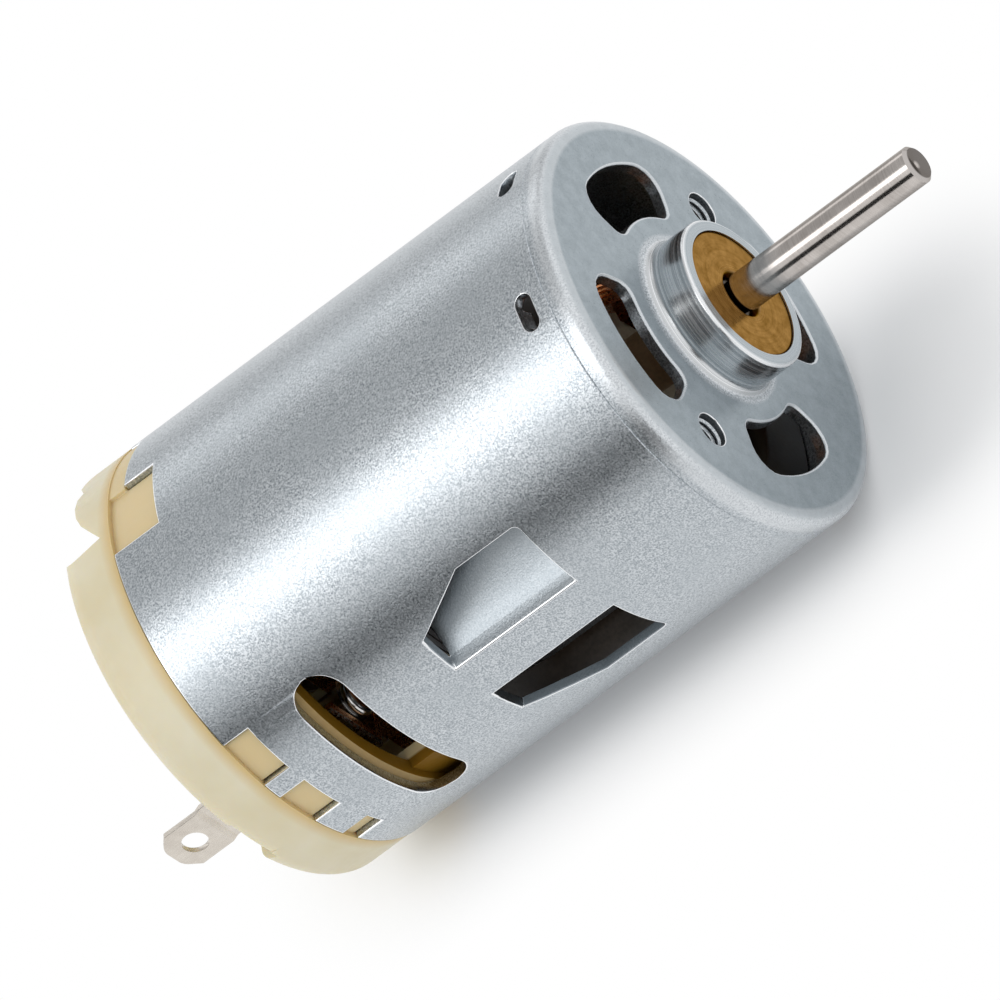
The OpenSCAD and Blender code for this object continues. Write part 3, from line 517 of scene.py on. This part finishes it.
def shaftSteel():
    look = {"pale": (0.60, 0.56, 0.53), "deep": (0.44, 0.405, 0.38), "tint": (0.6, 0.58, 0.56),
            # dot is also the painted shade of the relief by the bearing
            "cut": (0.19, 0.175, 0.165), "bright": (0.5, 0.47, 0.45), "dot": (0.1, 0.09, 0.08),
            # mm
            "cutX": (21.47, 21.53), "brightR": (1.3, 1.35), "dotR": (0.3, 0.2), "reliefX": (3.78, 3.76),
            "rough": (0.13, 0.19), "ring": 0.12, "depth": 0.0003, "mottle": 2.5, "spread": 0.6}
    material = turnedMetal("shaftSteel", look["pale"], look["deep"], *look["rough"], ring=look["ring"],
                           depth=look["depth"], mottle=look["mottle"], spread=look["spread"])
    shader = material.node_tree.nodes["Principled BSDF"]
    shader.inputs["Specular Tint"].default_value = (*look["tint"], 1)
    along, radius = axisPlace(material)[1:]
    # the cut end is duller, with a bright edge and a dark dot
    cut = mixedColours(material, zone(material, radius, look["brightR"]), look["cut"], look["bright"])
    cut = mixedColours(material, zone(material, radius, look["dotR"]), cut, look["dot"])
    body = shader.inputs["Base Color"].links[0].from_socket
    body = mixedColours(material, zone(material, along, look["cutX"]), body, cut)
    # painted shade: the relief by the bearing is coloured dark
    body = mixedColours(material, zone(material, along, look["reliefX"]), body, look["dot"])
    join(material, body, shader, "Base Color")
    return material


def laminatedMaterial():
    look = {"pale": (0.30, 0.30, 0.31), "deep": (0.16, 0.16, 0.17), "seam": (0.05, 0.045, 0.04),
            "sheet": 0.5, "seamSpan": (0.55, 0.95), "grain": 0.4, "depth": 0.03,
            "roughSpan": (0.3, 0.7), "rough": (0.35, 0.55)}
    material, shader = startMaterial("laminationSteel", Metallic=1.0)
    place, along = axisPlace(material)[:2]
    sheets = times(material, along, math.tau / (look["sheet"] * mm))
    wave = addNode(material, "Math", {0: sheets}, operation="SINE").outputs[0]
    seam = mapped(material, wave, look["seamSpan"])
    grain = noise(material, place, look["grain"], 3)
    colour = mixedColours(material, grain, look["deep"], look["pale"])
    join(material, mixedColours(material, seam, colour, look["seam"]), shader, "Base Color")
    join(material, mapped(material, grain, look["roughSpan"], *look["rough"]), shader, "Roughness")
    bumped(material, shader, math2(material, "SUBTRACT", 1.0, seam), look["depth"])
    return material


fineMetal = {"grain": 0.16, "depth": 0.003, "metal": 1.0}

finishes = {
    "plated_steel": platedSteel(),
    "bronze": sinteredBronze(),
    "ferrite": grainMaterial("ferrite", (0.045, 0.032, 0.022), (0.02, 0.014, 0.009), (0.3, 0.45)),
    "nylon": nylonMaterial(),
    "spring_steel": grainMaterial("springSteel", (0.5, 0.5, 0.5), (0.35, 0.35, 0.36), (0.25, 0.4),
                                  metal=1.0),
    "nickel_plate": grainMaterial("nickelPlate", (0.74, 0.69, 0.62), (0.60, 0.55, 0.49), (0.2, 0.36),
                                  stretch=(0.15, 1, 1), **fineMetal),
    "copper_alloy": grainMaterial("copperAlloy", (0.82, 0.48, 0.24), (0.60, 0.31, 0.13), (0.22, 0.36),
                                  **fineMetal),
    "bright_steel": grainMaterial("brightSteel", (0.75, 0.74, 0.73), (0.55, 0.54, 0.53), (0.14, 0.26),
                                  grain=0.2, depth=0.002, metal=1.0),
    "carbon": grainMaterial("carbon", (0.07, 0.07, 0.07), (0.03, 0.03, 0.03), (0.45, 0.7), metal=0.3),
    "shaft_steel": shaftSteel(),
    "lamination_steel": laminatedMaterial(),
    "insulation": grainMaterial("insulation", (0.70, 0.62, 0.44), (0.55, 0.46, 0.30), (0.45, 0.65)),
    "resin": grainMaterial("resin", (0.06, 0.045, 0.04), (0.03, 0.022, 0.02), (0.35, 0.55)),
    "enamelled_wire": grainMaterial("enamelledWire", (0.82, 0.33, 0.11), (0.52, 0.17, 0.05), (0.22, 0.38),
                                    grain=0.25, depth=0.004, metal=0.85,
                                    **{"Coat Weight": 0.5, "Coat Roughness": 0.15}),
    "commutator_copper": turnedMetal("commutatorCopper", (0.72, 0.36, 0.20), (0.45, 0.19, 0.09), 0.2, 0.4),
    "washer_fibre": grainMaterial("washerFibre", (0.45, 0.30, 0.16), (0.30, 0.19, 0.09), (0.5, 0.7)),
}

for nodeName, node in frame["nodes"].items():
    for place in node.material_slots:
        place.material = finishes[place.material.name.split(".")[0]]
print("materials set")


tidyUp = {"merge": 0.002, "wireMerge": 0.001, "flat": 0.4, "shade": 35, "bevel": 30}  # mm, then degrees


def finishPiece(name, shape, body, slotName, nodeNames=(), weighted=True):
    bmesh.ops.recalc_face_normals(shape, faces=shape.faces)
    mesh = bpy.data.meshes.new(name)
    shape.to_mesh(mesh)
    shape.free()
    if "custom_normal" in mesh.attributes:
        mesh.attributes.remove(mesh.attributes["custom_normal"])
    mesh.materials.clear()
    mesh.materials.append(finishes[slotName])
    mesh.polygons.foreach_set("material_index", [0] * len(mesh.polygons))
    mesh.shade_smooth()
    mesh.set_sharp_from_angle(angle=math.radians(tidyUp["shade"]))
    piece = bpy.data.objects.new(name, mesh)
    bpy.context.collection.objects.link(piece)
    if weighted:
        even = piece.modifiers.new("evenShading", "WEIGHTED_NORMAL")
        even.keep_sharp = True
    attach(piece, body)
    if nodeNames:
        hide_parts(*nodeNames)
    return piece


def mergedCopy(nodeName):
    shape = bmesh.new()
    shape.from_mesh(frame["nodes"][nodeName].data)
    bmesh.ops.remove_doubles(shape, verts=shape.verts, dist=tidyUp["merge"] * mm)
    bmesh.ops.dissolve_limit(shape, angle_limit=math.radians(tidyUp["flat"]), verts=shape.verts,
                             edges=shape.edges)
    shape.faces.layers.float.new("rim")  # read by the plated steel
    return shape


def softenEdges(shape, width, segments=2, keep=None, mark=1.0):
    # bevels the sharp edges that keep picks, and marks the new faces, which the plated steel gives a
    # painted highlight
    rim = shape.faces.layers.float["rim"]
    edges = [edge for edge in shape.edges if edge.is_manifold
             and edge.calc_face_angle(0) > math.radians(tidyUp["bevel"])
             and max(face[rim] for face in edge.link_faces) < 0.5
             and (keep is None or keep((edge.verts[0].co + edge.verts[1].co) / 2 / mm))]
    made = bmesh.ops.bevel(shape, geom=edges, offset=width * mm, offset_type="OFFSET",
                           segments=segments, profile=0.5, affect="EDGES", clamp_overlap=False,
                           loop_slide=True, material=-1)
    for face in made["faces"]:
        face[rim] = mark
    return shape


def fromAxis(place, centre=(0, 0)):
    return math.hypot(place.y - centre[0], place.z - centre[1])


can = {
    # bevel widths, and the zones of the edges that get each, in mm
    "edge": 0.09, "edgeX": -3, "windowEdge": 0.2, "windowX": -0.5, "windowR": (8.8, 14.0),
    "mouthEdge": 0.08, "mouthX": -0.3, "mouthR": 1.7, "ventEdge": 0.13, "ventX": -14, "ventR": 17.5,
    "screwR": 12.5, "screwTurns": (-7, 173), "neckR": 2.2, "neckEnd": -2.4,
    # thread
    "coreR": 1.25, "threadR": 1.42, "pitch": 0.5, "turns": 4, "crest": 0.06, "firstX": 0.1, "steps": 28,
    "flankGap": 0.03, "slack": 0.05,
    # painted highlight on the collar's turned edges; windowMark is the painted highlight on the window
    # edges, tappedMark the painted shade in the tapped holes
    "collarX": 3.3, "collarR": 6.1, "collarMark": 0.3,
    "windowMark": 0.5, "tappedMark": -0.8,
}


def aboutCentre(radius, degrees):
    # y and z of a place about the shaft, counted from the terminal side
    return -radius * math.cos(math.radians(degrees)), -radius * math.sin(math.radians(degrees))


screwCentres = [aboutCentre(can["screwR"], turn) for turn in can["screwTurns"]]


def nearScrew(place, reach):
    return any(fromAxis(place, centre) < reach for centre in screwCentres)


def tapHoles(shape):
    # the holes open up to the thread's full depth, and the thread is a ridge of its own in them
    for vert in shape.verts:
        place = vert.co / mm
        for centre in screwCentres:
            reach = fromAxis(place, centre)
            if can["neckEnd"] < place.x < can["firstX"] and reach < can["coreR"] + can["slack"]:
                grow = can["threadR"] / reach
                vert.co.y = (centre[0] + (place.y - centre[0]) * grow) * mm
                vert.co.z = (centre[1] + (place.z - centre[1]) * grow) * mm


def threadRidge(shape, centre):
    half, outer = can["pitch"] / 2 - can["flankGap"], can["threadR"] + can["slack"]
    section = [(half, outer), (can["crest"] / 2, can["coreR"]), (-can["crest"] / 2, can["coreR"]),
               (-half, outer)]
    corners = [shape.verts.new(Vector((can["firstX"] - can["pitch"] + x, centre[0], centre[1] + r)) * mm)
               for x, r in section]
    face = shape.faces.new(corners)
    bmesh.ops.spin(shape, geom=[face, *face.edges, *corners], cent=Vector((0, *centre)) * mm,
                   axis=(1, 0, 0), dvec=(-can["pitch"] / can["steps"] * mm, 0, 0),
                   angle=math.tau * can["turns"], steps=can["steps"] * can["turns"],
                   use_merge=False, use_normal_flip=False, use_duplicate=False)


def inTappedHole(face):
    place = face.calc_center_median() / mm
    return (can["neckEnd"] < place.x < 0 and abs(face.normal.x) < 0.5
            and nearScrew(place, can["threadR"] + can["slack"]))


def onCollarEdge(face):
    place = face.calc_center_median() / mm
    return place.x > can["collarX"] and fromAxis(place) > can["collarR"] and 0.05 < face.normal.x < 0.98


def byWindow(place):
    low, high = can["windowR"]
    return can["windowX"] < place.x and low < fromAxis(place) < high and not nearScrew(place, can["neckR"])


def byMouth(place):
    return place.x > can["mouthX"] and nearScrew(place, can["mouthR"])


def byVent(place):
    return place.x < can["ventX"] and fromAxis(place) > can["ventR"]


def behindFront(place):
    return place.x < can["edgeX"] and not nearScrew(place, can["neckR"])


canShape = mergedCopy("can")
tapHoles(canShape)
rim = canShape.faces.layers.float["rim"]
# painted shade on the walls of the tapped holes
for face in filter(inTappedHole, canShape.faces):
    face[rim] = can["tappedMark"]
# the bevelled edges are marked for a painted highlight, weaker by the windows
softenEdges(canShape, can["windowEdge"], segments=3, keep=byWindow, mark=can["windowMark"])
softenEdges(canShape, can["mouthEdge"], keep=byMouth)
softenEdges(canShape, can["ventEdge"], keep=byVent)
softenEdges(canShape, can["edge"], keep=behindFront)
# painted highlight, weaker, on the collar's turned edges
for face in filter(onCollarEdge, canShape.faces):
    face[rim] = can["collarMark"]
finishPiece("can_shell", canShape, "housing", "plated_steel", ["can"])
threadShape = bmesh.new()
for centre in screwCentres:
    threadRidge(threadShape, centre)
finishPiece("screw_threads", threadShape, "housing", "plated_steel")
print("can made")

cap = {"edge": 0.12, "edgeX": -44.9, "edgeR": 17}  # mm: only the notch fillers' edges are softened


def onFiller(place):
    return place.x > cap["edgeX"] and fromAxis(place) > cap["edgeR"]


capShape = softenEdges(mergedCopy("end_cap"), cap["edge"], keep=onFiller)
finishPiece("cap_moulding", capShape, "housing", "nylon", ["end_cap"])
print("cap made")

shaft = {"dotR": 0.3, "dotDepth": 0.35, "dotEnd": 0.4}  # mm, mm, share of the dot left at its bottom


def centreDot(shape):
    # the small centre mark in the shaft's cut end
    tip = max(shape.faces, key=lambda face: (face.normal.x > 0.99) * face.calc_center_median().x)
    tipR = max(vert.co.yz.length for vert in tip.verts)
    bmesh.ops.inset_region(shape, faces=[tip], thickness=tipR - shaft["dotR"] * mm, use_even_offset=True)
    bmesh.ops.translate(shape, verts=tip.verts, vec=(-shaft["dotDepth"] * mm, 0, 0))
    bmesh.ops.scale(shape, verts=tip.verts, vec=(1, shaft["dotEnd"], shaft["dotEnd"]),
                    space=Matrix.Identity(4))


shaftShape = mergedCopy("shaft")
centreDot(shaftShape)
finishPiece("shaft_ground", shaftShape, "rotor", "shaft_steel", ["shaft"])
print("shaft made")

softened = {
    # bevel widths in mm
    "terminal_near": 0.06, "terminal_far": 0.06, "brush_bracket_near": 0.08, "brush_bracket_far": 0.08,
    "brush_leaf_near": 0.05, "brush_leaf_far": 0.05, "carbon_brush_near": 0.1, "carbon_brush_far": 0.1,
    "magnet_upper": 0.2, "magnet_lower": 0.2, "front_bearing": 0.06, "rear_bearing": 0.1,
}
roundedTip = {"width": 0.45, "beyond": -56.5, "segments": 4}  # width and place in mm


def roundTip(shape):
    # the four corners of the tab's free end
    edges = [edge for edge in shape.edges
             if abs((edge.verts[0].co - edge.verts[1].co).normalized().y) > 0.98
             and max(vert.co.x for vert in edge.verts) < roundedTip["beyond"] * mm]
    bmesh.ops.bevel(shape, geom=edges, offset=roundedTip["width"] * mm, offset_type="OFFSET",
                    segments=roundedTip["segments"], profile=0.5, affect="EDGES", material=-1)
    return shape


bodies = frame["record"]["behaviour"]["bodies"]
homes = {node: body for body, nodes in bodies.items() for node in nodes}
for nodeName, width in softened.items():
    slotName = frame["nodes"][nodeName].material_slots[0].material.name
    slotName = next(key for key, value in finishes.items() if value.name == slotName)
    shape = mergedCopy(nodeName)
    if nodeName.startswith("terminal"):
        roundTip(shape)
    finishPiece(nodeName + "_edged", softenEdges(shape, width), homes[nodeName], slotName, [nodeName])
print("edges softened")


# windings: fine wire wound round each tooth, with its leads to two hooks
winding = {
    # in mm, with the poles' spacing in degrees
    "wire": 0.34, "pitch": 0.345, "seat": 0.04, "points": 48, "square": 5, "startGap": 0.02,
    "inR": 5.0, "outR": 9.5, "halfW": 3.05, "slope": 0.42, "halfLen": 13.6, "midX": -19.0,
    "hookX": -35.9, "hookR": 5.2, "side": 0.4, "drop": 1.2, "pole": 72,
    # the lead's way to the next hook: shares of a pole's turn and of the outer radius
    "crossing": ((0.1, 0.97), (0.32, 0.9), (0.55, 0.78), (0.75, 0.68), (0.9, 0.6)),
}


def loopPlace(turn, halfLen, halfW):
    # a place on a loop with rounded corners
    def rounded(value):
        return math.copysign(abs(value) ** (2 / winding["square"]), value)
    return halfLen * rounded(math.cos(turn)), halfW * rounded(math.sin(turn))


def aboutShaft(x, radius, degrees, side):
    y, z = aboutCentre(radius, degrees)
    turn = math.radians(degrees)
    return Vector((x, y - side * math.sin(turn), z + side * math.cos(turn)))


def wirePoints():
    w = winding
    off = w["wire"] / 2 + w["seat"]
    start = w["inR"] + w["wire"] / 2 + w["startGap"]
    steps = int((w["outR"] - start - w["wire"] / 2) / w["pitch"]) * w["points"]
    backX = w["midX"] - w["halfLen"] - off
    points = [Vector((w["hookX"], -w["hookR"], -w["side"])),
              Vector((backX - w["wire"], -w["hookR"], -w["side"]))]
    for step in range(1, steps):
        radius = start + w["pitch"] * step / w["points"]
        halfW = w["halfW"] + w["slope"] * (radius - w["inR"])
        x, z = loopPlace(math.pi + step * math.tau / w["points"], w["halfLen"] + off, halfW + off)
        points.append(Vector((w["midX"] + x, -radius, z)))
    for turnShare, radiusShare in w["crossing"]:
        points.append(aboutShaft(backX - w["drop"], radius * radiusShare, w["pole"] * turnShare, 0))
    points.append(aboutShaft(backX - w["drop"], w["hookR"], w["pole"], w["side"]))
    points.append(aboutShaft(w["hookX"], w["hookR"], w["pole"], w["side"]))
    return points


def wireMesh():
    curve = bpy.data.curves.new("wirePath", "CURVE")
    curve.dimensions = "3D"
    curve.bevel_depth = winding["wire"] / 2 * mm
    curve.bevel_resolution = 1
    curve.use_fill_caps = True
    points = wirePoints()
    path = curve.splines.new("POLY")
    path.points.add(len(points) - 1)
    for spot, point in zip(path.points, points):
        spot.co = (*(point * mm), 1)
    holder = bpy.data.objects.new("wirePath", curve)
    bpy.context.collection.objects.link(holder)
    bpy.context.view_layer.update()
    mesh = bpy.data.meshes.new_from_object(holder.evaluated_get(bpy.context.evaluated_depsgraph_get()))
    bpy.data.objects.remove(holder)
    return mesh


wires = wireMesh()
for pole in range(5):
    shape = bmesh.new()
    shape.from_mesh(wires)
    bmesh.ops.remove_doubles(shape, verts=shape.verts, dist=tidyUp["wireMerge"] * mm)
    bmesh.ops.rotate(shape, verts=shape.verts, cent=(0, 0, 0),
                     matrix=Matrix.Rotation(math.radians(pole * winding["pole"]), 3, "X"))
    core = frame["nodes"][f"coil_{pole + 1}"].data
    shape.from_mesh(core)
    bmesh.ops.remove_doubles(shape, verts=shape.verts, dist=tidyUp["wireMerge"] * mm)
    finishPiece(f"copper_winding_{pole + 1}", shape, "rotor", "enamelled_wire",
                [f"coil_{pole + 1}", f"winding_{pole + 1}"], weighted=False)
print("windings made")


bpy.context.view_layer.update()
